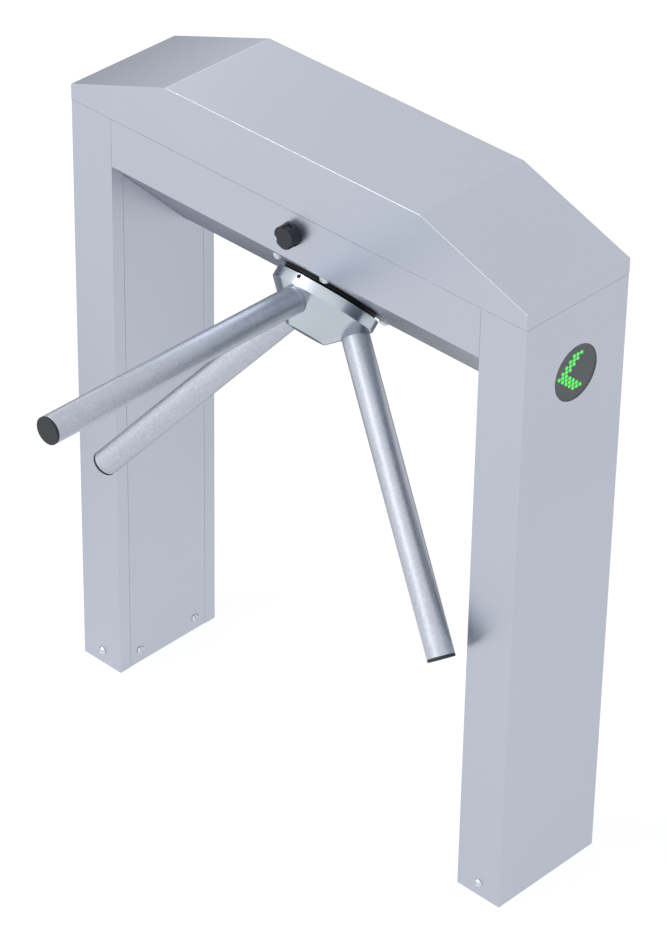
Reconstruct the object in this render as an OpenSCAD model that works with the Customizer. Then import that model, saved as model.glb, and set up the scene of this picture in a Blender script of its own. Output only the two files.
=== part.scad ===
// Tripod turnstile. Millimetres, +Z up, the front is -Y. People walk along X in front of it,
// where the level arm bars the way. The origin is on the floor, midway between the two posts.

/* [Housing] */
// Height of the cover's flat top over the floor
total_h = 1000; // [960:5:1040]
// Length over both posts
overall_l = 806; // [790:2:840]
// Depth of posts, header and cover
body_d = 190; // [188:1:196]
// Width of a post
post_w = 75; // [72:1:84]
// Height of the cover from its seam on the posts to its top
cover_h = 88; // [80:1:96]
// Height of the cover's upright lip
lip_h = 22.7; // [18:0.1:26]
// Length of the flat on the cover's top
cover_flat = 447.2; // [400:0.1:480]
// Sheet thickness of posts, header and cover
sheet_t = 2; // [1.6:0.1:2.2]
// Width of the return flanges beside an access panel
return_w = 20; // [16:1:24]
// Height of the header, from its bottom to the cover's seam
header_h = 212; // [210:1:212]
// Depth of the header's flat bottom
header_flat = 50; // [48:1:51]
// Gap at the seams between sheet parts
seam = 0.3; // [0.2:0.05:0.5]

/* [Access panels and base] */
// Gap between an access panel's foot and the floor
panel_foot = 1; // [0.5:0.5:3]
// Thickness of the base plates
base_t = 5; // [4:0.5:8]
// Height of the tabs that stand on a base plate
tab_h = 40; // [32:1:60]
// Thickness of the tabs
tab_t = 3; // [2.5:0.5:4]
// Width of a tab
tab_w = 30; // [24:1:34]
// Height of the post screws over the floor
screw_z = 20.5; // [16:0.5:24]
// Distance of the side screws from the middle of the panel
side_screw_y = 55; // [50:1:56]
// Diameter of an anchor hole
anchor_d = 14; // [10:1:16]
// Distance of the anchor holes from the middle of the base
anchor_y = 35; // [28:1:38]
// Diameter of the cable entry in a base plate
entry_d = 30; // [20:1:32]

/* [Arms and hub] */
// Outer diameter of an arm
arm_d = 38; // [32:1:40]
// Wall of an arm
arm_wall = 2; // [1.5:0.25:3]
// Distance from the arms' common point to an arm's tip
arm_reach = 516; // [420:1:540]
// Distance from that point to an arm's inner end
arm_start = 60; // [60:0.5:64]
// Angle between an arm and the rotor's axis
arm_angle = 45; // [45:1:45]
// Depth position of the arms' common point
apex_y = -0.9; // [-1.5:0.1:0]
// Height of the arms' common point over the header's slope
apex_up = 28.7; // [28.5:0.1:29]
// Radius of the hub's rim
hub_r = 75; // [72:1:78]
// Back of the hub, along the axis from the common point
hub_back = 27.5; // [27:0.5:29]
// Nose of the hub, along the axis
hub_nose = 88.5; // [86:0.5:92]
// Front of the hub's rim, along the axis, where the cone starts
rim_front = 43; // [42.5:0.5:44]
// Depth and extra radius of the groove around an arm
socket_step = [3.5, 0.4];
// Height of a plug's head on an arm's tip
plug_head = 4; // [3:0.5:6]
// Length of a plug inside the arm
plug_in = 22; // [15:1:30]
// Diameter and length of the set-screws in the hub
set_screw = [6, 11.5];
// Position of the set-screws along the rotor's axis
set_screw_t = 31; // [31:0.5:31.5]

/* [Indicator] */
// Diameter of the indicator window
window_d = 79; // [70:1:84]
// Depth position of the window
window_y = 2.5; // [0:0.5:4]
// Distance of the window's middle below the cover's seam
window_drop = 103.5; // [100:0.5:112]
// Diameter of one lamp
lamp_d = 5; // [4:0.1:5]
// Distance between lamp columns
lamp_dy = 6.8; // [6.8:0.1:7.4]
// Half the distance between lamp rows that are next but one
lamp_dz = 5.9; // [5.4:0.1:6]
// Distance of the arrow's tip from the window's middle, towards the front
lamp_tip = 28.6; // [26:0.1:30]

/* [Latch knob] */
// Sideways position of the knob
knob_x = 5; // [4:0.5:6]
// Distance of the knob below the cover's seam
knob_drop = 32.5; // [32:0.5:34]
// Radius of the knob over its lobes
knob_r = 16.5; // [15:0.5:18]
// Height of the knob off the header
knob_h = 15.5; // [14:0.5:20]
// Length of the latch tongue from the spindle
tongue_l = 24; // [22:0.5:25]

/* [Mechanism] */
// Diameter of the main shaft
shaft_d = 30; // [30:0.5:30]
// Outer diameter of the bearings
bearing_d = 62; // [60:0.5:64]
// Width of a bearing
bearing_w = 16; // [14:0.5:16]
// Outer diameter of the bearing housing
housing_d = 76; // [74:0.5:80]
// Number of notches in the lock disc
notches = 12; // [12:12:12]
// Radius of the lock disc
lock_r = 56; // [55:0.5:56]
// Swing of a pawl from open to locked, in degrees
pawl_swing = 12; // [10:0.5:12]
// Radius of the index cam between its lobes
cam_r = 36; // [35:0.5:36]
// Height of the index cam's lobes
cam_lift = 4; // [3:0.25:4]
// Radius of the index roller
roller_r = 8; // [7:0.5:8]
// Gear module of the damper drive
gear_m = 1.5; // [1.5:0.1:1.5]
// Teeth on the damper gear
gear_n = 48; // [48:1:48]
// Teeth on the damper pinion
pinion_n = 16; // [16:1:16]

/* [Hidden] */
$fn = 64;

body_c = "#bfc4ce";
steel_c = "#c9cdd6";
dark_c = "#2b2d31";
over = 1;
fit = 0.1;
running = 0.08;
post_h = total_h - cover_h;
header_z = post_h - header_h;
window_z = post_h - window_drop;
knob_z = post_h - knob_drop;
post_out = overall_l / 2;
post_in = post_out - post_w;
half_d = body_d / 2;
panel_half = half_d - return_w;
header_half = post_in - seam;
slope_rear = half_d - header_flat;
slope_sum = slope_rear + header_z;
apex_z = slope_sum - apex_y + apex_up;
header_low = slope_sum + half_d;
slope_t = apex_up * cos(45);
cover_over = 0.5;
cover_rise = cover_h - seam - lip_h;

// Fasteners: shank diameter, head diameter, head height, length
small_screw = [6, 14, 4.4, 14];
slope_screw = [8, 15, 5, 20];
frame_bolt = [8, 14, 5.3, 14];
housing_screw = [6, 10, 6, 12];
hex_d = 5;
hex_deep = 2;
// Header-to-post bolts: Y, and drop from the posts' top
frame_bolt_marks = [[-75, 24], [75, 24], [75, 186], [-52, 86]];
frame_bolt_at = [for (p = frame_bolt_marks) [p[0], post_h - p[1]]];
slope_screw_at = [41.9, 81.2];

// Cable window between header and posts: low Y, high Y, drop to its bottom, drop to its top
pass_marks = [-20, 52, 117, 42];
pass = [pass_marks[0], pass_marks[1], post_h - pass_marks[2], post_h - pass_marks[3]];
return_lip = 12;
catch_gap = [12, 44];

// Catch on the cover: low X, high X, lip top, lip thickness, lip depth, strip gap, strip thickness
catch_x = [18, 38];
catch_clear = 0.7;
catch_t = 2;
catch_d = 9;
catch_off = 1.2;
catch_root = 8;
tongue_y = 8.6;
tongue_t = 4;
tongue_w = 10;
catch_z = knob_z - tongue_w / 2 - catch_clear;
tongue_boss = 11;
spindle_d = 8;
valley_r = 5.5;
valley_out = 2;
valley_turn = 83;
knob_step = 0.5;
skirt_h = 3;

// Stations along the rotor's axis, from the arms' common point
plate_t = [12, 18];
housing_front = 20;
housing_flange = [6, 11.7, 55];
bearing_at = [2, -46];
housing_back = -49;
bore_step = 3;
ring_wall = 4.5;
shaft_back = -104;
collar_at = [19, 27.2, 38];
arm_mouth = (hub_r + rim_front) * cos(arm_angle);
seat_d = 28;
seat_end = 58;
seal_at = [20.6, 25.4, 68, 42];
head_seat = 66;
cap_t = 4;
cap_d = 24;
hub_bolt_dims = [10, 16, 10, 34];
key_dims = [8, 7, 24];
lock_at = [-58, -50];
notch = [13, 9];
cam_at = [-72, -64];
gear_at = [-84, -78];
bridge_at = [-96, -92];
encoder_at = [-101, -99.5];
encoder_r = 26;
encoder_slit = [1, 5];
sensor_box = [18, 18, 10];
pin_past = 1;
set_sunk = 1.5;
set_hex = 3;
collar_ring = [-63.7, -58.3, 46];

// Chassis plate: half width, low and high edges up the slope
plate_x = 110;
plate_u = [-84, 104];
bridge_x = 84;
bridge_u = [-30, 94];
standoff_at = [[-76, 84], [76, 84], [-76, -20], [76, -20]];
standoff_d = 12;
plate_bore = housing_d + 2 * seam;
slope_bore = 84;
bridge_bore = 36;

// Pawl: notch azimuth, pivot (along, out), tooth height over the disc, tooth width, thickness
pawl_az = 30;
pivot_at = [38, 62];
tooth_gap = 1.5;
tooth_w = 7;
boss_r = 9;
pawl_arm = [4, 11];
tail = 25;
tail_r = 6;
pin_d = 8;
link_d = 5;
solenoid_box = [38, 24, 24];
solenoid_start = -30;
plunger_d = 10;
tongue_level = [-49.6, -46];
slot_len = 9;

// Index lever, across and up from the axis
lever_pivot = [60, 62];
lever_knee = [51.5, 34];
roller_gap = 0.4;
lever_w = 10;
lever_t = [-76.5, -72.5];
spring_r = 7;
wire_d = 2;
spring_turns = 4;

// Damper
damper_az = -100;
damper_r = 17;
damper_t = [-91.7, -84.8];
damper_pin = 6;

// Electronics: inset from the header's end, X length, height over its bottom, Z height
board_marks = [14, 150, 42, 138];
board_at = [header_half - board_marks[0] - board_marks[1], board_marks[1], header_z + board_marks[2],
    board_marks[3]];
board_y = 84;
board_t = 1.6;
supply_marks = [14, 160, 30, 98];
supply_at = [supply_marks[0] - header_half, supply_marks[1], header_z + supply_marks[2], supply_marks[3]];
supply_d = 40;
strip_marks = [18, 150, 152, 26];
strip_at = [strip_marks[0] - header_half, strip_marks[1], header_z + strip_marks[2], strip_marks[3]];
strip_d = 22;
stand_d = 6;

// Indicator: setback of the lens face, lens thickness, flange, board
lens_set = 0.4;
lens_t = 2.4;
lens_flange = [90, 1.4];
ring_d = [116, 100, 91];
ring_t = [1.2, 5.6, 1.2];
lamp_board_t = 1.8;
lamp_up = 1.7;

module on_axis() {
    translate([0, apex_y, apex_z]) rotate([135, 0, 0]) children();
}

module along_arm(i) {
    on_axis() rotate([0, 0, -120 * i]) rotate([-arm_angle, 0, 0]) children();
}

// A disc or ring on the rotor's axis between two stations
module disc(from, to, r, hole = 0) {
    translate([0, 0, from]) difference() {
        cylinder(r = r, h = to - from);
        if (hole > 0) translate([0, 0, -over]) cylinder(r = hole, h = to - from + 2 * over);
    }
}

// A screw along +Z with its head below zero: s is shank, head, head height, length
module screw(s, sides = 64, socket = true, domed = false) {
    cap_r = (s[1] * s[1] / 4 + s[2] * s[2]) / (2 * s[2]);
    difference() {
        union() {
            cylinder(d = s[0], h = s[3]);
            if (domed) intersection() {
                translate([0, 0, cap_r - s[2]]) sphere(r = cap_r);
                translate([0, 0, -s[2] - over]) cylinder(d = s[1] + 2 * over, h = s[2] + over);
            }
            else translate([0, 0, -s[2]]) cylinder(d = s[1], h = s[2], $fn = sides);
        }
        if (socket) translate([0, 0, -s[2] - over]) cylinder(d = hex_d, h = hex_deep + over, $fn = 6);
    }
}

module side(s) {
    if (s > 0) children();
    else mirror([1, 0, 0]) children();
}

module both() {
    children();
    mirror([1, 0, 0]) children();
}

// Extrudes a [Y, Z] profile along X
module along_x(from, to) {
    translate([from, 0, 0]) rotate([90, 0, 90]) linear_extrude(to - from) children();
}

// Extrudes an [X, Z] profile from front to rear
module along_y(from, to) {
    translate([0, to, 0]) rotate([90, 0, 0]) linear_extrude(to - from) children();
}

module window_hole(d, from, h) {
    translate([from, window_y, window_z]) rotate([0, 90, 0]) cylinder(d = d, h = h);
}

module post(s) color(body_c) side(s) difference() {
    translate([post_in, -half_d, 0]) cube([post_w, body_d, post_h]);
    translate([post_in + sheet_t, -half_d + sheet_t, -over])
        cube([post_w - 2 * sheet_t, body_d - 2 * sheet_t, post_h + 2 * over]);
    along_x(post_in - over, post_in + sheet_t + over) polygon(side_outline(0, -over));
    translate([post_in - over, pass[0], pass[2]])
        cube([sheet_t + 2 * over, pass[1] - pass[0], pass[3] - pass[2]]);
    window_hole(window_d, post_out - sheet_t - over, sheet_t + 2 * over);
    for (p = frame_bolt_at) translate([post_in - over, p[0], p[1]])
        rotate([0, 90, 0]) cylinder(d = frame_bolt[0] + 2 * fit, h = sheet_t + 2 * over);
    for (y = [-half_d, half_d - sheet_t]) translate([post_in + post_w / 2, y - over, screw_z])
        rotate([-90, 0, 0]) cylinder(d = small_screw[0] + 2 * fit, h = sheet_t + 2 * over);
}

// Outline of the opening in a post's inner side, which ends under the header, taken in by t
function side_outline(t, foot) = let (p = panel_half - t) [[-p, foot], [p, foot],
    [p, header_z - t], [slope_rear - t * (sqrt(2) - 1), header_z - t], [-p, slope_sum + p - t * sqrt(2)]];

module panel(s) color(body_c) side(s) difference() {
    along_x(post_in, post_in + sheet_t) polygon(side_outline(seam, panel_foot));
    for (y = [-side_screw_y, side_screw_y]) translate([post_in - over, y, screw_z])
        rotate([0, 90, 0]) cylinder(d = small_screw[0] + 2 * fit, h = sheet_t + 2 * over);
}

// Section of the header, taken in by t
function section(t) = [[-half_d + t, post_h], [-half_d + t, header_low + t * (sqrt(2) - 1)],
    [slope_rear + t * (sqrt(2) - 1), header_z + t], [half_d - t, header_z + t], [half_d - t, post_h]];

module header() color(body_c) difference() {
    union() {
        along_x(-header_half, header_half)
            polygon(concat(section(0), [for (i = [4:-1:0]) section(sheet_t)[i]]));
        both() along_x(header_half - sheet_t, header_half) polygon(section(sheet_t / 2));
        for (y = [-half_d + sheet_t / 2, half_d - sheet_t / 2 - return_lip])
            translate([-header_half, y, post_h - sheet_t]) cube([2 * header_half, return_lip, sheet_t]);
    }
    both() translate([header_half - sheet_t - over, pass[0], pass[2]])
        cube([sheet_t + 2 * over, pass[1] - pass[0], pass[3] - pass[2]]);
    both() for (p = frame_bolt_at) translate([header_half - sheet_t - over, p[0], p[1]])
        rotate([0, 90, 0]) cylinder(d = frame_bolt[0] + 2 * fit, h = sheet_t + 2 * over);
    translate([catch_gap[0], -half_d + sheet_t, post_h - sheet_t - over])
        cube([catch_gap[1] - catch_gap[0], return_lip + over, sheet_t + 2 * over]);
    on_axis() disc(slope_t - sheet_t - over, slope_t + over, slope_bore / 2);
    on_axis() for (x = [-1, 1], u = [-1, 1])
        translate([x * slope_screw_at[0], u * slope_screw_at[1], slope_t - sheet_t - over])
            cylinder(d = slope_screw[0] + 2 * fit, h = sheet_t + 2 * over);
    translate([knob_x, -half_d - over, knob_z]) rotate([-90, 0, 0])
        cylinder(d = spindle_d + 2 * running, h = sheet_t + 2 * over);
}

// Profile of the cover, taken in by t and started at z
function lid(t, z) = let (
    w = post_out + cover_over - t,
    k = cover_rise / (post_out + cover_over - cover_flat / 2),
    drop = t * sqrt(1 + k * k),
    shoulder = post_h + seam + lip_h + t * k - drop,
    flat = cover_flat / 2 - (drop - t) / k)
    [[-w, z], [w, z], [w, shoulder], [flat, total_h - t], [-flat, total_h - t], [-w, shoulder]];

module cover() color(body_c) {
    depth = half_d + cover_over;
    difference() {
        along_y(-depth, depth) polygon(lid(0, post_h + seam));
        along_y(-depth + sheet_t, depth - sheet_t) polygon(lid(sheet_t, post_h + seam - over));
    }
    inner = -depth + sheet_t / 2;
    strip_y = -half_d + sheet_t + catch_off;
    strip_top = post_h + seam + lip_h;
    translate([catch_x[0], strip_y, catch_z - catch_t])
        cube([catch_x[1] - catch_x[0], catch_t, strip_top - catch_z + catch_t]);
    translate([catch_x[0], strip_y, catch_z - catch_t])
        cube([catch_x[1] - catch_x[0], catch_d, catch_t]);
    translate([catch_x[0], inner, strip_top - catch_root])
        cube([catch_x[1] - catch_x[0], strip_y - inner + catch_t, catch_root]);
}

module base(s) color("#8d929b") side(s) {
    low = post_in + sheet_t + seam;
    wide = post_w - 2 * (sheet_t + seam);
    deep = body_d - 2 * (sheet_t + seam);
    mid = post_in + post_w / 2;
    difference() {
        union() {
            translate([low, -deep / 2, 0]) cube([wide, deep, base_t]);
            for (y = [-deep / 2, deep / 2 - tab_t]) translate([mid - tab_w / 2, y, 0])
                cube([tab_w, tab_t, tab_h]);
            for (y = [-side_screw_y, side_screw_y]) translate([low, y - tab_w / 2, 0])
                cube([tab_t, tab_w, tab_h]);
        }
        for (y = [-anchor_y, anchor_y]) translate([mid, y, -over])
            cylinder(d = anchor_d, h = base_t + 2 * over);
        translate([mid, 0, -over]) cylinder(d = entry_d, h = base_t + 2 * over);
        for (y = [-half_d, half_d - tab_h]) translate([mid, y, screw_z]) rotate([-90, 0, 0])
            cylinder(d = small_screw[0] + 2 * fit, h = tab_h);
        for (y = [-side_screw_y, side_screw_y]) translate([low - over, y, screw_z])
            rotate([0, 90, 0]) cylinder(d = small_screw[0] + 2 * fit, h = tab_t + 2 * over);
    }
}

module post_screws() color(steel_c) both() {
    mid = post_in + post_w / 2;
    translate([mid, -half_d, screw_z]) rotate([-90, 0, 0]) screw(small_screw, domed = true);
    translate([mid, half_d, screw_z]) rotate([90, 0, 0]) screw(small_screw, domed = true);
    for (y = [-side_screw_y, side_screw_y]) translate([post_in, y, screw_z])
        rotate([0, 90, 0]) screw(small_screw, domed = true);
}

module frame_bolts() color(steel_c) both() for (p = frame_bolt_at)
    translate([header_half - sheet_t, p[0], p[1]]) rotate([0, 90, 0]) {
        screw(frame_bolt, 6, false);
        translate([0, 0, 2 * sheet_t + seam]) difference() {
            cylinder(d = frame_bolt[1], h = frame_bolt[2], $fn = 6);
            translate([0, 0, -over]) cylinder(d = frame_bolt[0] / 2, h = over);
        }
    }

module slope_screws() color(steel_c) on_axis() for (x = [-1, 1], u = [-1, 1])
    translate([x * slope_screw_at[0], u * slope_screw_at[1], slope_t])
        rotate([180, 0, 0]) screw(slope_screw, domed = true);

module chassis() color("#7c828c") on_axis() difference() {
    translate([-plate_x, plate_u[0], plate_t[0]])
        cube([2 * plate_x, plate_u[1] - plate_u[0], plate_t[1] - plate_t[0]]);
    disc(plate_t[0] - over, plate_t[1] + over, plate_bore / 2);
    for (x = [-1, 1], u = [-1, 1])
        translate([x * slope_screw_at[0], u * slope_screw_at[1], plate_t[0] - over])
            cylinder(d = slope_screw[0] + 2 * fit, h = plate_t[1] - plate_t[0] + 2 * over);
    for (a = [45:90:315]) rotate([0, 0, a]) translate([housing_ring, 0, plate_t[0] - over])
        cylinder(d = housing_screw[0] + 2 * fit, h = plate_t[1] - plate_t[0] + 2 * over);
}
housing_ring = (housing_d / 2 + housing_flange[2]) / 2;

module standoffs() color(steel_c) on_axis() for (p = standoff_at)
    translate([p[0], p[1], bridge_at[1] + seam / 2])
        cylinder(d = standoff_d, h = plate_t[0] - bridge_at[1] - seam);

module bridge_plate() color("#7c828c") on_axis() difference() {
    union() {
        translate([-bridge_x, bridge_u[0], bridge_at[0]])
            cube([2 * bridge_x, bridge_u[1] - bridge_u[0], bridge_at[1] - bridge_at[0]]);
        both() rotate([0, 0, -pawl_az]) translate([solenoid_start + tail_r, pivot_at[1] + tail - tail_r,
            bridge_at[0]]) cube([solenoid_box[0] / 2, 2 * tail_r,
            lock_mid - solenoid_box[2] / 2 - bridge_at[0] - seam]);
    }
    disc(bridge_at[0] - over, bridge_at[1] + over, bridge_bore / 2);
    both() for (p = [pawl_pivot, lever_pivot]) translate([p[0], p[1], bridge_at[0] - over])
        cylinder(d = pin_d + 2 * fit, h = bridge_at[1] - bridge_at[0] + 2 * over);
}
lock_mid = (lock_at[0] + lock_at[1]) / 2;
pawl_pivot = [pivot_at[1] * sin(pawl_az) + pivot_at[0] * cos(pawl_az),
    pivot_at[1] * cos(pawl_az) - pivot_at[0] * sin(pawl_az)];

module bearing_housing() color("#9aa0aa") on_axis() difference() {
    union() {
        disc(housing_back, housing_front, housing_d / 2);
        disc(housing_flange[0], housing_flange[1], housing_flange[2]);
    }
    disc(housing_back - over, housing_front + over, bearing_d / 2 - bore_step);
    disc(bearing_at[0] - fit, housing_front + over, bearing_d / 2 + fit);
    disc(housing_back - over, bearing_at[1] + bearing_w + fit, bearing_d / 2 + fit);
    for (a = [45:90:315]) rotate([0, 0, a]) translate([housing_ring, 0, housing_flange[0] - over])
        cylinder(d = housing_screw[0] + 2 * fit, h = housing_flange[1] - housing_flange[0] + 2 * over);
}

module housing_screws() color(steel_c) on_axis() for (a = [45:90:315])
    rotate([0, 0, a]) translate([housing_ring, 0, housing_flange[0]]) screw(housing_screw);

module bearing_outer() color(steel_c) on_axis() for (z = bearing_at)
    disc(z, z + bearing_w, bearing_d / 2, shaft_d / 2 + ring_wall + running);

module bearing_inner() color("#aeb3bd") on_axis() for (z = bearing_at)
    disc(z, z + bearing_w, shaft_d / 2 + ring_wall, shaft_d / 2 + fit / 2);

module key_slot(extra) {
    translate([-key_dims[0] / 2 - extra, seat_d / 2 - key_dims[1] / 2 - extra, hub_back + over - extra])
        cube([key_dims[0] + 2 * extra, key_dims[1] + 2 * extra, key_dims[2] + 2 * extra]);
}

module shaft() color("#aeb3bd") on_axis() difference() {
    union() {
        disc(shaft_back, collar_at[0] + over, shaft_d / 2);
        disc(collar_at[0], collar_at[1], collar_at[2] / 2);
        disc(collar_at[1] - over, seat_end, seat_d / 2);
    }
    key_slot(fit);
    translate([0, 0, seat_end - hub_bolt_dims[3]])
        cylinder(d = hub_bolt_dims[0] + 2 * fit, h = hub_bolt_dims[3] + over);
}

module shaft_key() color(steel_c) on_axis() key_slot(0);

module shaft_collar() color(steel_c) on_axis()
    disc(collar_ring[0], collar_ring[1], collar_ring[2] / 2, shaft_d / 2 + fit / 2);

module seal_flange() color(dark_c) on_axis()
    disc(seal_at[0], seal_at[1], seal_at[2], seal_at[3] / 2);

module hub() color(steel_c) on_axis() {
    cut = 4 * hub_r;
    difference() {
        union() {
            disc(hub_back, rim_front, hub_r);
            translate([0, 0, rim_front]) cylinder(r1 = hub_r,
                r2 = hub_r - (hub_nose - rim_front) / tan(arm_angle), h = hub_nose - rim_front);
        }
        for (i = [0:2]) {
            rotate([0, 0, -120 * i]) rotate([-arm_angle, 0, 0]) {
                disc(arm_start, cut, arm_d / 2 + fit);
                disc(arm_mouth - socket_step[0], cut, arm_d / 2 + socket_step[1]);
            }
            rotate([0, 0, -120 * i]) translate([0, hub_r - 2 * set_screw[1], set_screw_t])
                rotate([-90, 0, 0]) cylinder(d = set_screw[0] + 2 * fit, h = cut);
        }
        disc(hub_back - over, seat_end + fit, seat_d / 2 + fit);
        disc(seat_end, cut, hub_bolt_dims[0] / 2 + fit);
        disc(head_seat, cut, cap_d / 2 + fit);
        key_slot(fit);
    }
}

module hub_bolt() color(steel_c) on_axis() translate([0, 0, head_seat + fit])
    rotate([180, 0, 0]) screw(hub_bolt_dims);

module hub_cap() color(dark_c) on_axis() disc(hub_nose - cap_t, hub_nose, cap_d / 2);

module arm(i) color(steel_c) along_arm(i)
    disc(arm_start + fit, arm_reach - plug_head, arm_d / 2, arm_d / 2 - arm_wall);

module arm_plugs() color(dark_c) for (i = [0:2]) along_arm(i) {
    disc(arm_reach - plug_head + fit / 2, arm_reach, arm_d / 2);
    disc(arm_reach - plug_head - plug_in, arm_reach - plug_head + over, arm_d / 2 - arm_wall - fit);
}

module arm_set_screws() color(dark_c) on_axis() for (i = [0:2]) rotate([0, 0, -120 * i])
    translate([0, hub_r - set_sunk, set_screw_t]) rotate([90, 0, 0]) difference() {
        cylinder(d = set_screw[0], h = set_screw[1]);
        translate([0, 0, -over]) cylinder(d = set_hex, h = set_hex + over, $fn = 6);
    }

module lock_disc() color("#9aa0aa") on_axis() difference() {
    disc(lock_at[0], lock_at[1], lock_r, shaft_d / 2 + fit / 2);
    for (k = [0:notches - 1]) rotate([0, 0, k * 360 / notches])
        translate([-notch[0] / 2, lock_r - notch[1], lock_at[0] - over])
            cube([notch[0], 2 * notch[1], lock_at[1] - lock_at[0] + 2 * over]);
}

// A pawl in its notch's frame: x runs along the rim, y out from the axis
module pawl(s) color("#c2a24a") on_axis() side(s) rotate([0, 0, -pawl_az]) {
    tip = lock_r + tooth_gap;
    translate([0, 0, lock_at[0] + fit]) linear_extrude(lock_at[1] - lock_at[0] - 2 * fit) difference() {
        union() {
            polygon([[-tooth_w / 2, tip], [tooth_w / 2, tip], [tooth_w / 2, pivot_at[1] + pawl_arm[0]],
                [pivot_at[0], pivot_at[1] - boss_r], [pivot_at[0], pivot_at[1] + boss_r],
                [-tooth_w / 2, pivot_at[1] + pawl_arm[1]]]);
            translate(pivot_at) circle(r = boss_r);
            translate([pivot_at[0] - tail_r, pivot_at[1]]) square([2 * tail_r, tail]);
            translate([pivot_at[0], pivot_at[1] + tail]) circle(r = tail_r);
        }
        translate(pivot_at) circle(d = pin_d + 2 * running);
    }
    translate([pivot_at[0], pivot_at[1] + tail, lock_at[0] + over])
        cylinder(d = link_d, h = tongue_level[1] - lock_at[0] - over);
}

module pivot_pins() color(steel_c) on_axis() {
    both() translate([pawl_pivot[0], pawl_pivot[1], bridge_at[0]])
        cylinder(d = pin_d, h = lock_at[1] - bridge_at[0] + pin_past);
    translate([lever_pivot[0], lever_pivot[1], bridge_at[0]])
        cylinder(d = pin_d, h = lever_t[1] - bridge_at[0] + pin_past);
}

module solenoids() color("#4a4d55") on_axis() both() rotate([0, 0, -pawl_az]) difference() {
    translate([solenoid_start, pivot_at[1] + tail - solenoid_box[1] / 2, lock_mid - solenoid_box[2] / 2])
        cube(solenoid_box);
    translate([solenoid_start + 2 * tail_r, pivot_at[1] + tail, lock_mid]) rotate([0, 90, 0])
        cylinder(d = plunger_d + 2 * running, h = solenoid_box[0]);
}

// The plunger pulls the pawl's tail towards the solenoid
module plunger(s) color(steel_c) on_axis() side(s) rotate([0, 0, -pawl_az]) {
    rod_end = pivot_at[0] - 2 * tail_r;
    rod_start = solenoid_start + 4 * tail_r;
    difference() {
        union() {
            translate([rod_start, pivot_at[1] + tail, lock_mid]) rotate([0, 90, 0])
                cylinder(d = plunger_d, h = rod_end - rod_start);
            translate([rod_end - tail_r, pivot_at[1] + tail - tail_r, tongue_level[0]])
                cube([pivot_at[0] + tail_r - rod_end + tail_r, 2 * tail_r,
                    tongue_level[1] - tongue_level[0]]);
        }
        translate([pivot_at[0] - link_d / 2 - fit, pivot_at[1] + tail - slot_len / 2 - fit,
            tongue_level[0] - over]) cube([link_d + 2 * fit, slot_len, plunger_d]);
    }
}

function cam_at_angle(a) = let (off = abs((a + 360) % 120 - 60), w = 24)
    cam_r + (off < w ? cam_lift * pow(cos(90 * off / w), 2) : 0);

// The lobes stand 60 degrees from the roller, which sits at azimuth 90
module index_cam() color("#9aa0aa") on_axis() translate([0, 0, cam_at[0]])
    linear_extrude(cam_at[1] - cam_at[0]) difference() {
        polygon([for (a = [0:4:356]) cam_at_angle(a) * [cos(a), sin(a)]]);
        circle(r = shaft_d / 2 + fit / 2);
    }

roller_at = [cam_r + cam_lift + roller_gap + roller_r, 0];

module index_lever() color("#7c828c") on_axis() {
    translate([0, 0, lever_t[0]]) linear_extrude(lever_t[1] - lever_t[0]) difference() {
        union() {
            translate(lever_pivot) circle(r = boss_r);
            translate(lever_knee) circle(d = lever_w);
            translate(roller_at) circle(d = lever_w);
            hull() {
                translate(lever_pivot) circle(d = lever_w, $fn = 24);
                translate(lever_knee) circle(d = lever_w, $fn = 24);
            }
            hull() {
                translate(lever_knee) circle(d = lever_w, $fn = 24);
                translate(roller_at) circle(d = lever_w, $fn = 24);
            }
        }
        translate(lever_pivot) circle(d = pin_d + 2 * running);
    }
    translate([roller_at[0], roller_at[1], lever_t[0] + over])
        cylinder(d = link_d, h = cam_at[1] - lever_t[0] - over);
}

module index_roller() color(dark_c) on_axis() translate([roller_at[0], roller_at[1], 0])
    disc(cam_at[0], cam_at[1], roller_r, link_d / 2 + running);

// A wire along a list of points, n sides round
module wire(path, d, n) {
    last = len(path) - 1;
    function dir(i) = let (v = path[min(i + 1, last)] - path[max(i - 1, 0)]) v / norm(v);
    rings = [for (i = [0:last]) let (
        t = dir(i), a = cross(t, [0.1, 0.2, 1]), p = a / norm(a), q = cross(t, p))
        [for (k = [0:n - 1]) path[i] + d / 2 * (cos(360 * k / n) * p + sin(360 * k / n) * q)]];
    polyhedron([for (r = rings) each r], concat(
        [[for (k = [0:n - 1]) k]], [[for (k = [n - 1:-1:0]) last * n + k]],
        [for (i = [0:last - 1], k = [0:n - 1]) [i * n + k, (i + 1) * n + k,
            (i + 1) * n + (k + 1) % n, i * n + (k + 1) % n]]));
}

module index_spring() color(steel_c) on_axis() {
    rise = (lever_t[0] - bridge_at[1] - wire_d - seam) / spring_turns;
    path = [for (a = [0:18:360 * spring_turns]) [spring_r * cos(a), spring_r * sin(a), rise * a / 360]];
    translate([lever_pivot[0], lever_pivot[1], bridge_at[1] + (wire_d + seam) / 2])
        wire(path, wire_d, 8);
}

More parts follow.
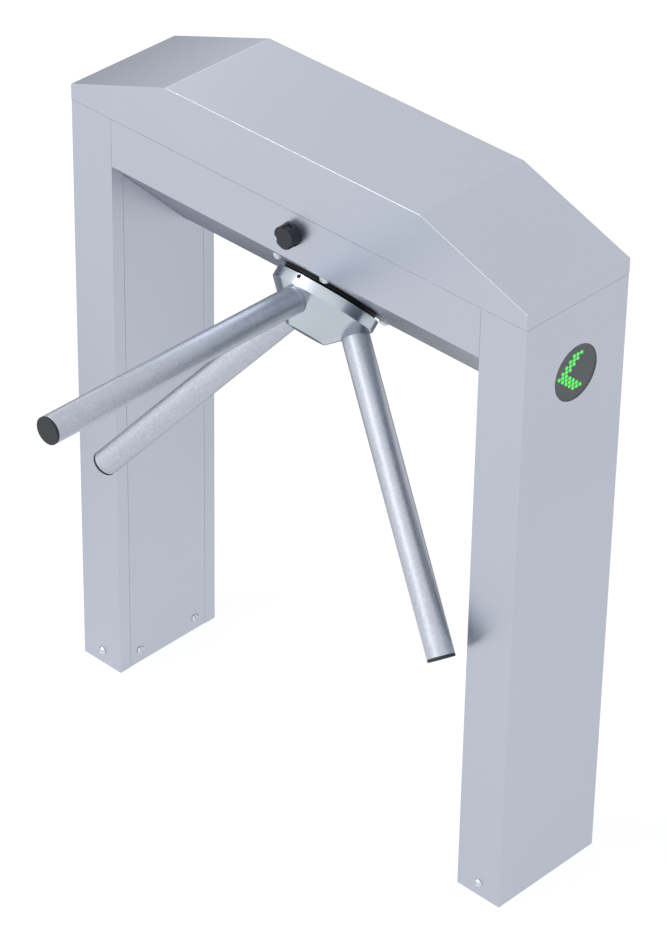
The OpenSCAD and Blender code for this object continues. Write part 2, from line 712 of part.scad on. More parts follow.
// Involute gear outline: n teeth, module m, thinned for backlash
function inv(b, t) = b * [cos(t) + t * PI / 180 * sin(t), sin(t) - t * PI / 180 * cos(t)];
function roll(b, r) = r <= b ? 0 : sqrt(pow(r / b, 2) - 1) * 180 / PI;
function flank(b, r) = let (p = inv(b, roll(b, r))) atan2(p[1], p[0]);
function gear_points(n, m, slack) = let (
    rp = n * m / 2, b = rp * cos(20), ra = rp + m * 0.9, rf = rp - m * 1.2,
    half = 90 / n - slack / rp * 90 / PI + flank(b, rp),
    rs = [for (k = [0:3]) max(b, rf) + (ra - max(b, rf)) * k / 3])
    [for (i = [0:n - 1]) let (c = 360 * i / n) each concat(
        [rf * [cos(c - half), sin(c - half)]],
        [for (r = rs) let (a = c - half + flank(b, r)) r * [cos(a), sin(a)]],
        [for (k = [3:-1:0]) let (r = rs[k], a = c + half - flank(b, r)) r * [cos(a), sin(a)]],
        [rf * [cos(c + half), sin(c + half)]])];

backlash = 0.3;
damper_dist = gear_m * (gear_n + pinion_n) / 2;

module damper_gear() color("#d8d4c4") on_axis() translate([0, 0, gear_at[0]])
    linear_extrude(gear_at[1] - gear_at[0]) difference() {
        rotate(90 - damper_az) polygon(gear_points(gear_n, gear_m, backlash));
        circle(r = shaft_d / 2 + fit / 2);
    }

module at_damper() {
    rotate([0, 0, 90 - damper_az]) translate([damper_dist, 0, 0]) children();
}

module damper_pinion() color("#d8d4c4") on_axis() at_damper() {
    translate([0, 0, gear_at[0]]) linear_extrude(gear_at[1] - gear_at[0])
        rotate(180 / pinion_n) rotate(180) polygon(gear_points(pinion_n, gear_m, backlash));
    disc(damper_t[0] + pin_past, gear_at[0] + over, damper_pin / 2);
}

module damper_body() color(dark_c) on_axis() at_damper() difference() {
    disc(damper_t[0], damper_t[1], damper_r);
    disc(damper_t[0] + pin_past - fit, damper_t[1] + over, damper_pin / 2 + running);
}

module encoder_disc() color("#e2e2e2") on_axis() difference() {
    disc(encoder_at[0], encoder_at[1], encoder_r, shaft_d / 2 + fit / 2);
    for (k = [0:23]) rotate([0, 0, 15 * k + 7.5])
        translate([-encoder_slit[0] / 2, encoder_r - encoder_slit[0] - encoder_slit[1],
            encoder_at[0] - over])
            cube([encoder_slit[0], encoder_slit[1], 2 * over + encoder_at[1] - encoder_at[0]]);
}

module encoder_sensor() color(dark_c) on_axis() translate([-sensor_box[0] / 2, encoder_r, 0]) difference() {
    translate([0, -sensor_box[1] / 2, bridge_at[0] - sensor_box[2] - seam / 2]) cube(sensor_box);
    translate([-over, -sensor_box[1] / 2 - over, encoder_at[0] - over])
        cube([sensor_box[0] + 2 * over, sensor_box[1] / 2 + 3 * over, 2 * over + encoder_at[1] - encoder_at[0]]);
}

module knob() color(dark_c) translate([knob_x, -half_d - seam, knob_z]) rotate([90, 0, 0]) difference() {
    union() {
        cylinder(r = knob_r, h = skirt_h);
        cylinder(r = knob_r - knob_step, h = knob_h);
    }
    for (k = [0:2]) rotate([0, 0, 120 * k + valley_turn])
        translate([knob_r + valley_out, 0, skirt_h + knob_step]) cylinder(r = valley_r, h = knob_h);
}

module latch_tongue() color(steel_c) translate([knob_x, -half_d, knob_z]) {
    rotate([-90, 0, 0]) cylinder(d = spindle_d, h = tongue_y + tongue_t);
    translate([0, tongue_y, 0]) rotate([-90, 0, 0]) cylinder(d = tongue_boss, h = tongue_t);
    translate([-tongue_w / 2, tongue_y, 0]) cube([tongue_w, tongue_t, tongue_l]);
}

module control_board() color("#2f6b45") {
    difference() {
        translate([board_at[0], board_y, board_at[2]]) cube([board_at[1], board_t, board_at[3]]);
        for (x = [board_x0, board_x1], z = [board_z0, board_z1]) translate([x, board_y - over, z])
            rotate([-90, 0, 0]) cylinder(d = stand_d / 2, h = board_t + 2 * over);
    }
}
board_x0 = board_at[0] + stand_d;
board_x1 = board_at[0] + board_at[1] - stand_d;
board_z0 = board_at[2] + stand_d;
board_z1 = board_at[2] + board_at[3] - stand_d;

// Parts on the board as [x, z, width, height, rise], as shares of the board and of its depth
parts_list = [[0.08, 0.80, 0.10, 0.14, 0.9], [0.22, 0.80, 0.10, 0.14, 0.9], [0.36, 0.80, 0.10, 0.14, 0.9],
    [0.50, 0.80, 0.10, 0.14, 0.9], [0.10, 0.06, 0.34, 0.09, 0.7], [0.52, 0.06, 0.34, 0.09, 0.7],
    [0.42, 0.40, 0.16, 0.16, 0.16], [0.70, 0.42, 0.14, 0.20, 0.5], [0.12, 0.40, 0.20, 0.20, 1.0]];
part_rise = 18;

module board_parts() color("#23252a") {
    for (p = parts_list) translate([board_at[0] + p[0] * board_at[1], board_y - p[4] * part_rise - seam / 6,
        board_at[2] + p[1] * board_at[3]])
        cube([p[2] * board_at[1], p[4] * part_rise, p[3] * board_at[3]]);
    for (x = [0.68, 0.80]) translate([board_at[0] + x * board_at[1], board_y - seam / 6,
        board_at[2] + 0.8 * board_at[3]]) rotate([90, 0, 0]) cylinder(d = standoff_d, h = part_rise);
    for (x = [board_x0, board_x1], z = [board_z0, board_z1])
        translate([x, board_y + board_t + seam / 6, z]) rotate([-90, 0, 0])
            cylinder(d = stand_d, h = half_d - sheet_t - board_y - board_t - seam / 2);
}

module power_supply() color("#a9adb5") difference() {
    translate([supply_at[0], half_d - sheet_t - seam - supply_d, supply_at[2]])
        cube([supply_at[1], supply_d, supply_at[3]]);
    translate([supply_at[0] + sheet_t, half_d - seam - supply_d, supply_at[2] + sheet_t])
        cube([supply_at[1] - 2 * sheet_t, supply_d - 3 * sheet_t, supply_at[3] - 2 * sheet_t]);
    for (i = [0:9], k = [0:4]) translate([supply_at[0] + supply_at[1] * (i + 1) / 11,
        half_d - 2 * sheet_t - seam - supply_d, supply_at[2] + supply_at[3] * (k + 1) / 6])
        rotate([-90, 0, 0]) cylinder(d = stand_d, h = 3 * sheet_t, $fn = 6);
}

module terminal_strip() color("#5f8f5a") {
    n = 12;
    step = strip_at[1] / n;
    difference() {
        translate([strip_at[0], half_d - sheet_t - seam - strip_d, strip_at[2]])
            cube([strip_at[1], strip_d, strip_at[3]]);
        for (i = [0:n - 1], z = [0.28, 0.72])
            translate([strip_at[0] + step * (i + 0.5), half_d - sheet_t - seam - strip_d - over,
                strip_at[2] + strip_at[3] * z])
                rotate([-90, 0, 0]) cylinder(d = stand_d, h = strip_d / 3);
    }
}

lens_face = post_out - lens_set;
flange_face = post_out - sheet_t - seam;

module lens(s) color("#1c1f22") side(s) {
    window_hole(window_d - 2 * seam, lens_face - lens_t, lens_t);
    difference() {
        window_hole(lens_flange[0], flange_face - lens_flange[1], lens_flange[1]);
        window_hole(window_d - 2 * seam - 2 * over, flange_face - lens_flange[1] - over, 2 * over);
    }
}

module lens_rings() color(dark_c) both() difference() {
    union() {
        window_hole(ring_d[0], flange_face - ring_t[0], ring_t[0]);
        window_hole(ring_d[1], flange_face - ring_t[1], ring_t[1]);
    }
    window_hole(ring_d[2], flange_face - ring_t[1] + ring_t[2], ring_t[1]);
    window_hole(window_d, flange_face - ring_t[1] - over, ring_t[1]);
}

lamp_board_face = flange_face - ring_t[1] + ring_t[2] + fit + lamp_board_t;

module lamp_boards() color("#111315") both()
    window_hole(lens_flange[0], lamp_board_face - lamp_board_t, lamp_board_t);

// Lamps of the arrow: column 0 is the tip
lamp_rows = [[0], [-1, 0, 1], [-2, -1, 0, 1, 2], [-3, -2, -1, 1, 2, 3],
    [-4, -3, -2, 2, 3, 4], [-4, -3, 3, 4], [-4, 4]];

module lamps() color("#5df06a") both() for (i = [0:6], j = lamp_rows[i])
    translate([lamp_board_face + fit / 2, window_y - lamp_tip + lamp_dy * i, window_z + lamp_dz * j])
        rotate([0, 90, 0]) cylinder(d = lamp_d, h = lamp_up);

post(-1);  // post_left
post(1);  // post_right
panel(-1);  // panel_left
panel(1);  // panel_right
header();
cover();
base(-1);  // base_left
base(1);  // base_right
post_screws();
frame_bolts();
slope_screws();
chassis();
standoffs();
bridge_plate();
bearing_housing();
housing_screws();
bearing_outer();
bearing_inner();
shaft();
shaft_key();
shaft_collar();
seal_flange();
hub();
hub_bolt();
hub_cap();
arm(0);  // arm_front
arm(2);  // arm_left
arm(1);  // arm_right
arm_plugs();
arm_set_screws();
lock_disc();
pawl(-1);  // pawl_left
pawl(1);  // pawl_right
pivot_pins();
solenoids();
plunger(-1);  // plunger_left
plunger(1);  // plunger_right
index_cam();
index_lever();
index_roller();
index_spring();
damper_gear();
damper_pinion();
damper_body();
encoder_disc();
encoder_sensor();
knob();
latch_tongue();
control_board();
board_parts();
power_supply();
terminal_strip();
lens(-1);  // lens_left
lens(1);  // lens_right
lens_rings();
lamp_boards();
lamps();
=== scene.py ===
import math

import bpy
from mathutils import Matrix, Vector

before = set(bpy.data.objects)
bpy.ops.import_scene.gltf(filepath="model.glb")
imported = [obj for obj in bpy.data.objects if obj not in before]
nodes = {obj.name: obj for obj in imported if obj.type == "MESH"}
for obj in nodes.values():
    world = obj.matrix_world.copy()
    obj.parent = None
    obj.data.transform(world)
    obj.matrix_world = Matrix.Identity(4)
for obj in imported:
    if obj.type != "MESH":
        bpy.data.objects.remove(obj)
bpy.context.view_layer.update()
print("frame loaded:", len(nodes), "nodes")


def colour(hexText):
    # sRGB hex to the linear values that the shaders take
    parts = [int(hexText[i:i + 2], 16) / 255 for i in (1, 3, 5)]
    return tuple(c / 12.92 if c <= 0.04045 else ((c + 0.055) / 1.055) ** 2.4 for c in parts) + (1.0,)


def addNode(tree, kind, settings=None, links=None):
    # a setting goes to the node where it has one of that name, or else to the input so named
    node = tree.nodes.new(kind)
    for name, value in (settings or {}).items():
        if isinstance(name, str) and hasattr(node, name):
            setattr(node, name, value)
        else:
            node.inputs[name].default_value = value
    for name, (source, port) in (links or {}).items():
        tree.links.new(source.outputs[port], node.inputs[name])
    return node


def newMaterial(name):
    material = bpy.data.materials.new(name)
    material.use_nodes = True
    material.node_tree.nodes.clear()
    return material, material.node_tree


def output(tree, shader):
    addNode(tree, "ShaderNodeOutputMaterial", links={"Surface": (shader, 0)})


def perMetre(millimetres):
    # a pattern's scale from the real size of its grain
    return 1000 / millimetres


# Metals and plastics

grainSpan = {"From Min": 0.3, "From Max": 0.7}  # most of a noise's values lie in here
grainDepth = 0.0001  # metres


def turnedTo(tree, axis):
    # object coordinates turned so that Z runs along axis
    coordinates = addNode(tree, "ShaderNodeTexCoord")
    turn = Vector(axis).rotation_difference(Vector((0, 0, 1))).to_euler()
    return addNode(tree, "ShaderNodeMapping", {"Rotation": turn}, {"Vector": (coordinates, "Object")})


def groundSteel(name, look, axis=(0, 0, 1)):
    # metal, ground, brushed or turned: fine scratches along one axis blur what it reflects
    # into soft bands, and the tone drifts a little. Real scratches are a tenth of a
    # millimetre wide, too fine for the render, so each is drawn as coarse as it has to be
    material, tree = newMaterial(name)
    place = turnedTo(tree, axis)
    across, along = perMetre(look["grainMm"]), perMetre(look["scratchMm"])
    stretched = addNode(tree, "ShaderNodeMapping", {"Scale": (across, across, along)},
        {"Vector": (place, 0)})
    grain = addNode(tree, "ShaderNodeTexNoise", {"Scale": 1.0, "Detail": 3.0, "Roughness": 0.6},
        {"Vector": (stretched, 0)})
    drift = addNode(tree, "ShaderNodeTexNoise", {"Scale": perMetre(look["driftMm"]), "Detail": 2.0},
        {"Vector": (place, 0)})
    tone = addNode(tree, "ShaderNodeMix", {"data_type": "RGBA", 6: colour(look["base"]),
        7: colour(look["shade"])}, {0: (drift, 0)})
    flecks = addNode(tree, "ShaderNodeMapRange", {**grainSpan,
        "To Min": 1 - look["fleck"], "To Max": 1 + look["fleck"]}, {"Value": (grain, 0)})
    toned = addNode(tree, "ShaderNodeVectorMath", {"operation": "SCALE"},
        {0: (tone, 2), "Scale": (flecks, 0)})
    rough = addNode(tree, "ShaderNodeMapRange", {**grainSpan,
        "To Min": look["roughness"] - look["roughSpread"],
        "To Max": look["roughness"] + look["roughSpread"]}, {"Value": (grain, 0)})
    lift = addNode(tree, "ShaderNodeBump", {"Strength": look["bump"], "Distance": grainDepth},
        {"Height": (grain, 0)})
    shader = addNode(tree, "ShaderNodeBsdfPrincipled", {"Metallic": 1.0},
        {"Base Color": (toned, 0), "Roughness": (rough, 0), "Normal": (lift, 0)})
    output(tree, shader)
    return material


def moulded(name, look):
    # plastic, moulded, turned or coated: even colour, a fine grain that scatters the highlight
    material, tree = newMaterial(name)
    coordinates = addNode(tree, "ShaderNodeTexCoord")
    grain = addNode(tree, "ShaderNodeTexNoise", {"Scale": perMetre(look["grainMm"]), "Detail": 4.0},
        {"Vector": (coordinates, "Object")})
    tone = addNode(tree, "ShaderNodeMix", {"data_type": "RGBA", 6: colour(look["base"]),
        7: colour(look["shade"])}, {0: (grain, 0)})
    lift = addNode(tree, "ShaderNodeBump", {"Strength": look["bump"], "Distance": grainDepth},
        {"Height": (grain, 0)})
    shader = addNode(tree, "ShaderNodeBsdfPrincipled", {"Roughness": look["roughness"], "IOR": look["ior"]},
        {"Base Color": (tone, 2), "Normal": (lift, 0)})
    output(tree, shader)
    return material


# stainless sheet, grade 304: long fine grain, wide soft reflections, hardly a fleck
cabinetLook = {"base": "#bcc1cc", "shade": "#b8bdc9", "roughness": 0.34, "roughSpread": 0.03,
    "grainMm": 0.9, "scratchMm": 40, "driftMm": 260, "fleck": 0.012, "bump": 0.05}
cabinetSteel = groundSteel("satin ground stainless sheet", cabinetLook)

# stainless tube: short mottled marks along each arm break up its long highlight
tubeLook = {"base": "#bdc2cb", "shade": "#b5bac4", "roughness": 0.42, "roughSpread": 0.05,
    "grainMm": 3.6, "scratchMm": 4.5, "driftMm": 60, "fleck": 0.1, "bump": 0.06}
leanY = -math.sqrt(0.5)
rotorAxis = (0, leanY, leanY)
armAxes = {
    "arm_front": (0, -1, 0),
    "arm_right": (math.sqrt(0.375), -0.25, -0.75),
    "arm_left": (-math.sqrt(0.375), -0.25, -0.75),
}

# polished casting: close to a mirror, so each facet reads as a grey of its own
hubLook = {"base": "#bbc2ca", "shade": "#b5bcc4", "roughness": 0.2, "roughSpread": 0.02,
    "grainMm": 0.6, "scratchMm": 4, "driftMm": 50, "fleck": 0.01, "bump": 0.03}
hubSteel = groundSteel("satin-polished cast stainless", hubLook, rotorAxis)

# bright zinc: small domes that catch one sharp highlight
screwLook = {"base": "#cdd0d6", "shade": "#c2c6cd", "roughness": 0.2, "roughSpread": 0.04,
    "grainMm": 0.5, "scratchMm": 1.5, "driftMm": 12, "fleck": 0.02, "bump": 0.05}
screwSteel = groundSteel("bright zinc-plated screw steel", screwLook, rotorAxis)

# zinc on mild steel: cloudy grey, duller than the cabinet
zincLook = {"base": "#aeb2b8", "shade": "#9ca1a9", "roughness": 0.38, "roughSpread": 0.08,
    "grainMm": 2.5, "scratchMm": 8, "driftMm": 24, "fleck": 0.06, "bump": 0.06}
zincSheet = groundSteel("zinc-plated mild steel sheet", zincLook, (1, 0, 0))

# turned aluminium: paler than steel, with rings that soften its shine
alloyLook = {"base": "#c4c6ca", "shade": "#b9bcc2", "roughness": 0.28, "roughSpread": 0.05,
    "grainMm": 0.8, "scratchMm": 1.2, "driftMm": 40, "fleck": 0.03, "bump": 0.1}
turnedAlloy = groundSteel("turned aluminium 6082", alloyLook, rotorAxis)

# bare ground steel: darker and sharper than the sheet
bearingLook = {"base": "#a9acb1", "shade": "#9b9fa5", "roughness": 0.22, "roughSpread": 0.04,
    "grainMm": 0.6, "scratchMm": 1.0, "driftMm": 30, "fleck": 0.02, "bump": 0.06}
bearingSteel = groundSteel("ground bearing steel", bearingLook, rotorAxis)

# black oxide: dark metal with a dull sheen
oxideLook = {"base": "#3a3c40", "shade": "#2b2d30", "roughness": 0.42, "roughSpread": 0.08,
    "grainMm": 0.6, "scratchMm": 1.2, "driftMm": 9, "fleck": 0.05, "bump": 0.1}
oxideSteel = groundSteel("black-oxide steel", oxideLook, rotorAxis)

# brass: warm yellow against the grey plates
brassLook = {"base": "#c8a862", "shade": "#b4924c", "roughness": 0.3, "roughSpread": 0.06,
    "grainMm": 0.8, "scratchMm": 2.0, "driftMm": 14, "fleck": 0.05, "bump": 0.1}
castBrass = groundSteel("cast brass with machined edges", brassLook, rotorAxis)

# polypropylene: a soft grey bloom in place of a highlight
plugLook = {"base": "#25272c", "shade": "#202227", "roughness": 0.55, "ior": 1.5, "grainMm": 1.6,
    "bump": 0.1}
plugPlastic = moulded("moulded black polypropylene", plugLook)
# polyamide with an eroded face: black, a little blue, no sharp highlight
gripLook = {"base": "#181b28", "shade": "#151723", "roughness": 0.5, "ior": 1.5, "grainMm": 1.2,
    "bump": 0.15}
gripPlastic = moulded("moulded black polyamide grip", gripLook)
# black acetal seal in the gap behind the hub, toned darker than black plastic so that it also paints the
# shade of that gap: the darkest piece, almost no shine
sealAndGapShadeLook = {"base": "#08090b", "shade": "#060709", "roughness": 0.5, "ior": 1.3, "grainMm": 2.0,
    "bump": 0.03}
sealPlasticWithGapShade = moulded("turned black acetal with painted gap shade", sealAndGapShadeLook)
# polyurethane tread: dull, it swallows the light
rubberLook = {"base": "#242426", "shade": "#1c1c1e", "roughness": 0.65, "ior": 1.5, "grainMm": 1.0,
    "bump": 0.2}
rollerRubber = moulded("hard black polyurethane", rubberLook)
# undyed acetal: creamy and waxy
gearLook = {"base": "#d8d2be", "shade": "#cfc8b2", "roughness": 0.4, "ior": 1.5, "grainMm": 1.5,
    "bump": 0.05}
gearPlastic = moulded("cream acetal", gearLook)
# polyester film: thin and smooth, with a clean reflection
discLook = {"base": "#1d1e20", "shade": "#18191b", "roughness": 0.25, "ior": 1.5, "grainMm": 3.0,
    "bump": 0.02}
discPlastic = moulded("photo-etched polyester disc", discLook)
# solder mask: a glossy green film
boardLook = {"base": "#1f6a3c", "shade": "#1a5c33", "roughness": 0.35, "ior": 1.5, "grainMm": 4.0,
    "bump": 0.05}
boardMask = moulded("green solder mask on glass laminate", boardLook)
# polyamide: the flat mid green of terminal blocks
terminalLook = {"base": "#6c8f5c", "shade": "#648655", "roughness": 0.5, "ior": 1.5, "grainMm": 1.5,
    "bump": 0.08}
terminalPlastic = moulded("moulded green polyamide terminals", terminalLook)
# matt paint that keeps reflections away from the lamps
maskLook = {"base": "#17191b", "shade": "#131416", "roughness": 0.6, "ior": 1.5, "grainMm": 1.0,
    "bump": 0.1}
lampMask = moulded("matt black mask of the lamp board", maskLook)


def smokedAcrylic(look):
    # polished cast acrylic with a smoke tint: clear, dark, with a mirror-like front face
    material, tree = newMaterial("smoked cast acrylic")
    coordinates = addNode(tree, "ShaderNodeTexCoord")
    ripple = addNode(tree, "ShaderNodeTexNoise", {"Scale": perMetre(look["rippleMm"]), "Detail": 1.0},
        {"Vector": (coordinates, "Object")})
    lift = addNode(tree, "ShaderNodeBump", {"Strength": look["bump"], "Distance": 2 * grainDepth},
        {"Height": (ripple, 0)})
    shader = addNode(tree, "ShaderNodeBsdfPrincipled", {"Base Color": colour(look["base"]),
        "Roughness": look["roughness"], "IOR": look["ior"], "Transmission Weight": 1.0},
        {"Normal": (lift, 0)})
    output(tree, shader)
    return material


def litLamp(look):
    # green light-emitting diode in a diffusing dome: brightest in the middle of each dome
    material, tree = newMaterial("green lamp, lit")
    facing = addNode(tree, "ShaderNodeLayerWeight", {"Blend": look["falloff"]})
    glow = addNode(tree, "ShaderNodeMix", {"data_type": "RGBA", 6: colour(look["middle"]),
        7: colour(look["rim"])}, {0: (facing, "Facing")})
    shader = addNode(tree, "ShaderNodeBsdfPrincipled", {"Base Color": colour(look["base"]),
        "Roughness": look["roughness"], "Emission Strength": look["strength"]},
        {"Emission Color": (glow, 2)})
    output(tree, shader)
    return material


lensLook = {"base": "#b9c6cf", "roughness": 0.08, "ior": 1.49, "rippleMm": 30, "bump": 0.02}
lensAcrylic = smokedAcrylic(lensLook)
lampLook = {"base": "#1fa42a", "middle": "#44ff46", "rim": "#2fe035", "falloff": 0.35, "roughness": 0.3,
    "strength": 1.8}
lampGreen = litLamp(lampLook)
print("materials made:", len(bpy.data.materials))


# CAD nodes: a finish for each, and the radius of its edges in millimetres

finishes = {
    "post_left": (cabinetSteel, 1.2), "post_right": (cabinetSteel, 1.2),
    "panel_left": (cabinetSteel, 0.4), "panel_right": (cabinetSteel, 0.4),
    "header": (cabinetSteel, 0.8), "cover": (cabinetSteel, 1.2),
    "base_left": (zincSheet, 0.5), "base_right": (zincSheet, 0.5),
    "post_screws": (screwSteel, 0.9), "frame_bolts": (screwSteel, 0.5), "slope_screws": (screwSteel, 0.9),
    "chassis": (zincSheet, 0.4), "standoffs": (screwSteel, 0.5), "bridge_plate": (zincSheet, 0.4),
    "bearing_housing": (turnedAlloy, 0.8), "housing_screws": (screwSteel, 0.6),
    "bearing_outer": (bearingSteel, 0.5), "bearing_inner": (bearingSteel, 0.3),
    "shaft": (bearingSteel, 0.6), "shaft_key": (bearingSteel, 0.3), "shaft_collar": (bearingSteel, 0.5),
    "seal_flange": (sealPlasticWithGapShade, 0.6), "hub": (hubSteel, 0.8), "hub_bolt": (screwSteel, 0.5),
    "hub_cap": (hubSteel, 0.5), "arm_plugs": (plugPlastic, 1.0), "arm_set_screws": (oxideSteel, 0.3),
    "lock_disc": (bearingSteel, 0.4), "pawl_left": (castBrass, 0.5), "pawl_right": (castBrass, 0.5),
    "pivot_pins": (bearingSteel, 0.4), "solenoids": (plugPlastic, 0.8),
    "plunger_left": (bearingSteel, 0.3), "plunger_right": (bearingSteel, 0.3),
    "index_cam": (bearingSteel, 0.4), "index_lever": (zincSheet, 0.4), "index_roller": (rollerRubber, 0.6),
    "index_spring": (oxideSteel, 0), "damper_gear": (gearPlastic, 0), "damper_pinion": (gearPlastic, 0),
    "damper_body": (plugPlastic, 0.8), "encoder_disc": (discPlastic, 0),
    "encoder_sensor": (plugPlastic, 0.5),
    "knob": (gripPlastic, 0.9), "latch_tongue": (screwSteel, 0.4), "control_board": (boardMask, 0),
    "board_parts": (plugPlastic, 0.4), "power_supply": (zincSheet, 0.4),
    "terminal_strip": (terminalPlastic, 0.4), "lens_left": (lensAcrylic, 0), "lens_right": (lensAcrylic, 0),
    "lens_rings": (plugPlastic, 0.3), "lamp_boards": (lampMask, 0), "lamps": (lampGreen, 0.9),
}
for arm, axis in armAxes.items():
    finishes[arm] = (groundSteel("brushed stainless tube, " + arm, tubeLook, axis), 0.6)


def smoothBelow(degrees):
    # shades curved faces smooth and leaves edges steeper than this angle sharp
    tree = bpy.data.node_groups.new("smooth curved faces", "GeometryNodeTree")
    for way in ("INPUT", "OUTPUT"):
        tree.interface.new_socket("Mesh", in_out=way, socket_type="NodeSocketGeometry")
    start = addNode(tree, "NodeGroupInput")
    plain = addNode(tree, "GeometryNodeRemoveAttribute", {"Name": "custom_normal"}, {"Geometry": (start, 0)})
    faces = addNode(tree, "GeometryNodeSetShadeSmooth", {"domain": "FACE", "Shade Smooth": True},
        {"Geometry": (plain, 0)})
    bend = addNode(tree, "GeometryNodeInputMeshEdgeAngle")
    steep = addNode(tree, "FunctionNodeCompare", {"data_type": "FLOAT", "operation": "GREATER_THAN",
        "B": math.radians(degrees)}, {"A": (bend, "Unsigned Angle")})
    edges = addNode(tree, "GeometryNodeSetShadeSmooth", {"domain": "EDGE", "Shade Smooth": False},
        {"Geometry": (faces, 0), "Selection": (steep, 0)})
    addNode(tree, "NodeGroupOutput", links={0: (edges, 0)})
    return tree


# Edges: the sheet's folds are blunter than any other edge, so they have angles of their own

sheetNodes = ("post_left", "post_right", "panel_left", "panel_right", "header", "cover")
edgeRules = {"sheetSmooth": 12, "curvedSmooth": 32, "sheetRound": 12, "curvedRound": 35, "flatWithin": 0.2,
    "segments": 3, "weld": 1e-6}
curvedSmooth = smoothBelow(edgeRules["curvedSmooth"])
sheetSmooth = smoothBelow(edgeRules["sheetSmooth"])


def roundEdges(piece, radiusMm):
    # welds the carried-over triangles into faces, then rolls each sharp edge over
    weld = piece.modifiers.new("weld", "WELD")
    weld.merge_threshold = edgeRules["weld"]
    plain = piece.modifiers.new("flat faces", "DECIMATE")
    plain.decimate_type = "DISSOLVE"
    plain.angle_limit = math.radians(edgeRules["flatWithin"])
    isSheet = piece.name in sheetNodes
    if radiusMm:
        roll = piece.modifiers.new("rounded edges", "BEVEL")
        roll.limit_method = "ANGLE"
        roll.angle_limit = math.radians(edgeRules["sheetRound" if isSheet else "curvedRound"])
        roll.width = radiusMm / 1000
        roll.segments = edgeRules["segments"]
        roll.use_clamp_overlap = True
    shade = piece.modifiers.new("smooth curved faces", "NODES")
    shade.node_group = sheetSmooth if isSheet else curvedSmooth
    flats = piece.modifiers.new("flats stay flat", "WEIGHTED_NORMAL")
    flats.keep_sharp = True


for name, (material, radiusMm) in finishes.items():
    piece = nodes[name]
    for slot in piece.material_slots:
        slot.material = material
    roundEdges(piece, radiusMm)
print("finishes on:", len(finishes), "of", len(nodes))


# Studio: white floor, even pale sky, soft lamps

def seenClearly(tree, path):
    # 1 where the camera sees the surface itself, in metal or through glass, and 0 for stray light
    direct = addNode(tree, "ShaderNodeMath", {"operation": "MAXIMUM"},
        {0: (path, "Is Camera Ray"), 1: (path, "Is Glossy Ray")})
    return addNode(tree, "ShaderNodeMath", {"operation": "MAXIMUM"},
        {0: (direct, 0), 1: (path, "Is Transmission Ray")})


def dimmedTwice(tree, path, look):
    # the floor's glow, dimmer behind the object where one piece of metal shows it in another
    firstGlance = 1.5  # more bounces than this is a second one
    again = addNode(tree, "ShaderNodeMath", {"operation": "GREATER_THAN", 1: firstGlance},
        {0: (path, "Glossy Depth")})
    place = addNode(tree, "ShaderNodeNewGeometry")
    axes = addNode(tree, "ShaderNodeSeparateXYZ", links={0: (place, "Position")})
    behind = addNode(tree, "ShaderNodeMapRange", {"From Min": 0.0, "From Max": look["fadeDeep"]},
        {"Value": (axes, "Y")})
    both = addNode(tree, "ShaderNodeMath", {"operation": "MULTIPLY"}, {0: (again, 0), 1: (behind, 0)})
    return addNode(tree, "ShaderNodeMapRange", {"To Min": look["glow"],
        "To Max": look["glow"] * look["secondGlance"]}, {"Value": (both, 0)})


def studioFloor(look):
    # matt white floor that the camera sees as white with a faint shadow
    size = look["size"]
    corners = [(-size, -size, 0), (size, -size, 0), (size, size, 0), (-size, size, 0)]
    mesh = bpy.data.meshes.new("studio floor")
    mesh.from_pydata(corners, [], [(0, 1, 2, 3)])
    floor = bpy.data.objects.new("studio floor", mesh)
    bpy.context.scene.collection.objects.link(floor)
    material, tree = newMaterial("matt white floor")
    path = addNode(tree, "ShaderNodeLightPath")
    seen = seenClearly(tree, path)
    paint = addNode(tree, "ShaderNodeBsdfDiffuse", {"Color": colour(look["paint"])})
    bounce = addNode(tree, "ShaderNodeBsdfDiffuse", {"Color": colour(look["bounce"])})
    strength = dimmedTwice(tree, path, look)
    glow = addNode(tree, "ShaderNodeEmission", {"Color": (1, 1, 1, 1)}, {"Strength": (strength, 0)})
    bright = addNode(tree, "ShaderNodeMixShader", {0: look["glowShare"]}, {1: (paint, 0), 2: (glow, 0)})
    shown = addNode(tree, "ShaderNodeMixShader", links={0: (seen, 0), 1: (bounce, 0), 2: (bright, 0)})
    under = addNode(tree, "ShaderNodeNewGeometry")
    clear = addNode(tree, "ShaderNodeBsdfTransparent")
    oneWay = addNode(tree, "ShaderNodeMixShader",
        links={0: (under, "Backfacing"), 1: (shown, 0), 2: (clear, 0)})
    output(tree, oneWay)
    mesh.materials.append(material)


def greyCard(look):
    # card that leans away behind the object: only reflections see it, as the dark side of the room
    az = math.radians(look["azimuth"])
    back = Vector((math.cos(az), math.sin(az), 0))
    side = Vector((-back.y, back.x, 0)) * look["width"] / 2
    low = back * look["near"] + Vector((0, 0, look["bottom"]))
    high = back * look["far"] + Vector((0, 0, look["top"]))
    mesh = bpy.data.meshes.new("grey card")
    mesh.from_pydata([low - side, low + side, high + side, high - side], [], [(0, 1, 2, 3)])
    card = bpy.data.objects.new("grey card", mesh)
    bpy.context.scene.collection.objects.link(card)
    material, tree = newMaterial("grey studio card")
    path = addNode(tree, "ShaderNodeLightPath")
    clear = addNode(tree, "ShaderNodeBsdfTransparent")
    grey = addNode(tree, "ShaderNodeEmission", {"Color": colour(look["tone"])})
    shown = addNode(tree, "ShaderNodeMixShader",
        links={0: (path, "Is Glossy Ray"), 1: (clear, 0), 2: (grey, 0)})
    output(tree, shown)
    mesh.materials.append(material)


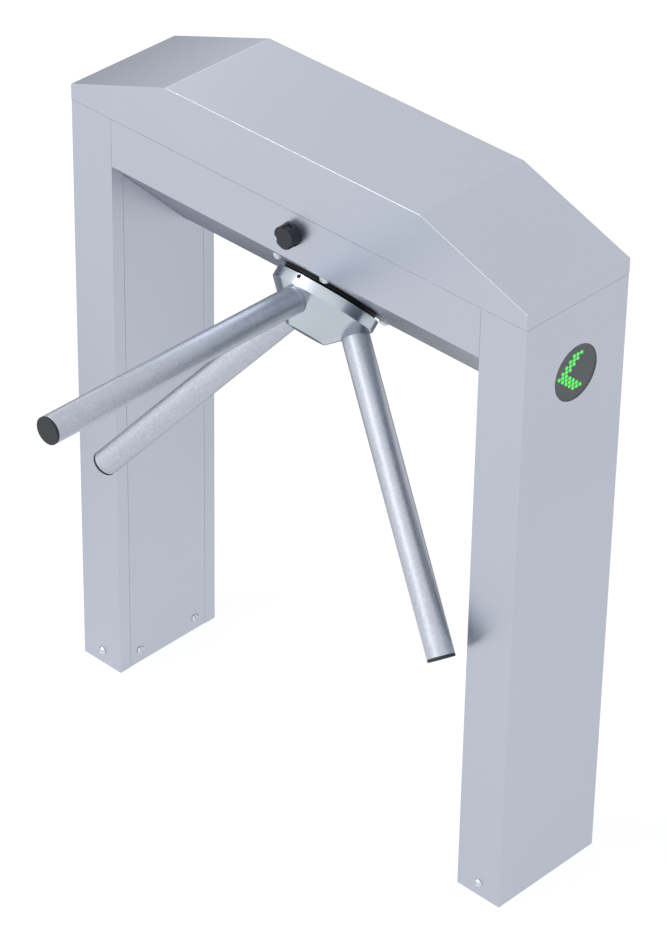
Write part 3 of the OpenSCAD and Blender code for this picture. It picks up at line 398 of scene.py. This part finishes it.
def studioSky(look):
    # even pale light, and a white backdrop that metal sees a little brighter in front
    world = bpy.data.worlds.new("studio sky")
    bpy.context.scene.world = world
    world.use_nodes = True
    tree = world.node_tree
    tree.nodes.clear()
    path = addNode(tree, "ShaderNodeLightPath")
    seen = seenClearly(tree, path)
    light = addNode(tree, "ShaderNodeBackground", {"Color": colour(look["tint"]), "Strength": look["light"]})
    aim = addNode(tree, "ShaderNodeTexCoord")
    axes = addNode(tree, "ShaderNodeSeparateXYZ", links={0: (aim, "Generated")})
    front = addNode(tree, "ShaderNodeMapRange", {"From Min": look["glowFrom"], "From Max": look["glowTo"],
        "To Min": 1.0, "To Max": look["frontGlow"]}, {"Value": (axes, "Y")})
    backdrop = addNode(tree, "ShaderNodeBackground", {"Color": (1, 1, 1, 1)}, {"Strength": (front, 0)})
    both = addNode(tree, "ShaderNodeMixShader", links={0: (seen, 0), 1: (light, 0), 2: (backdrop, 0)})
    addNode(tree, "ShaderNodeOutputWorld", links={"Surface": (both, 0)})


def softLamp(name, look):
    # a wide lamp, like a window, aimed at the upper half of the object
    lamp = bpy.data.lights.new(name, "AREA")
    lamp.shape = "RECTANGLE"
    lamp.size, lamp.size_y = look["size"]
    lamp.energy = look["watts"]
    holder = bpy.data.objects.new(name, lamp)
    bpy.context.scene.collection.objects.link(holder)
    holder.location = look["place"]
    aim = Vector((0, 0, lampAimHeight)) - Vector(look["place"])
    holder.rotation_euler = aim.to_track_quat("-Z", "Y").to_euler()


studioFloor({"size": 60, "paint": "#e6e6e6", "bounce": "#a8a8a8", "glow": 1.25, "glowShare": 0.7,
    "secondGlance": 0.5, "fadeDeep": 0.4})
greyCard({"azimuth": 139, "near": 0.4, "far": 1.3, "bottom": 0.002, "top": 1.0, "width": 1.8,
    "tone": "#7a7d83"})
studioSky({"tint": "#f4f7ff", "light": 0.55, "frontGlow": 1.26, "glowFrom": 0.2, "glowTo": -0.8})

lampAimHeight = 0.75
softLamps = {
    "front window": {"place": (-0.9, -3.84, 3.12), "size": (2.7, 2.4), "watts": 48},
    "left window": {"place": (-2.52, -2.81, 3.25), "size": (0.8, 2.4), "watts": 42},
    "back window": {"place": (-3.3, 2.4, 2.2), "size": (0.4, 0.4), "watts": 3},
}
for name, look in softLamps.items():
    softLamp(name, look)
print("studio lit with", len(softLamps), "soft lamps")


# Camera, solved from the photograph's straight edges

cameraFit = {"azimuth": 43.332, "elevation": 34.429, "roll": 1.036, "aimHeight": 0.5,
    "distance": 5.46443, "slideRight": 0.0037526, "slideUp": 0.028799, "focalPx": 4086.6,
    "longSidePx": 943, "sensorMm": 36, "clipEnd": 200}


def placeCamera(fit):
    az, el, roll = (math.radians(fit[k]) for k in ("azimuth", "elevation", "roll"))
    back = Vector((math.sin(az) * math.cos(el), -math.cos(az) * math.cos(el), math.sin(el)))
    right = Vector((math.cos(az), math.sin(az), 0))
    up = back.cross(right)
    right, up = (right * math.cos(roll) + up * math.sin(roll), up * math.cos(roll) - right * math.sin(roll))
    spot = Vector((0, 0, fit["aimHeight"])) + back * fit["distance"] \
        - right * fit["slideRight"] - up * fit["slideUp"]
    lens = bpy.data.cameras.new("camera")
    lens.sensor_width = fit["sensorMm"]
    lens.lens = fit["focalPx"] * lens.sensor_width / fit["longSidePx"]
    lens.clip_end = fit["clipEnd"]
    holder = bpy.data.objects.new("camera", lens)
    bpy.context.scene.collection.objects.link(holder)
    holder.matrix_world = Matrix(((right.x, up.x, back.x, spot.x), (right.y, up.y, back.y, spot.y),
        (right.z, up.z, back.z, spot.z), (0, 0, 0, 1)))
    bpy.context.scene.camera = holder


placeCamera(cameraFit)
bpy.context.scene.view_settings.view_transform = "Standard"
print("camera placed")
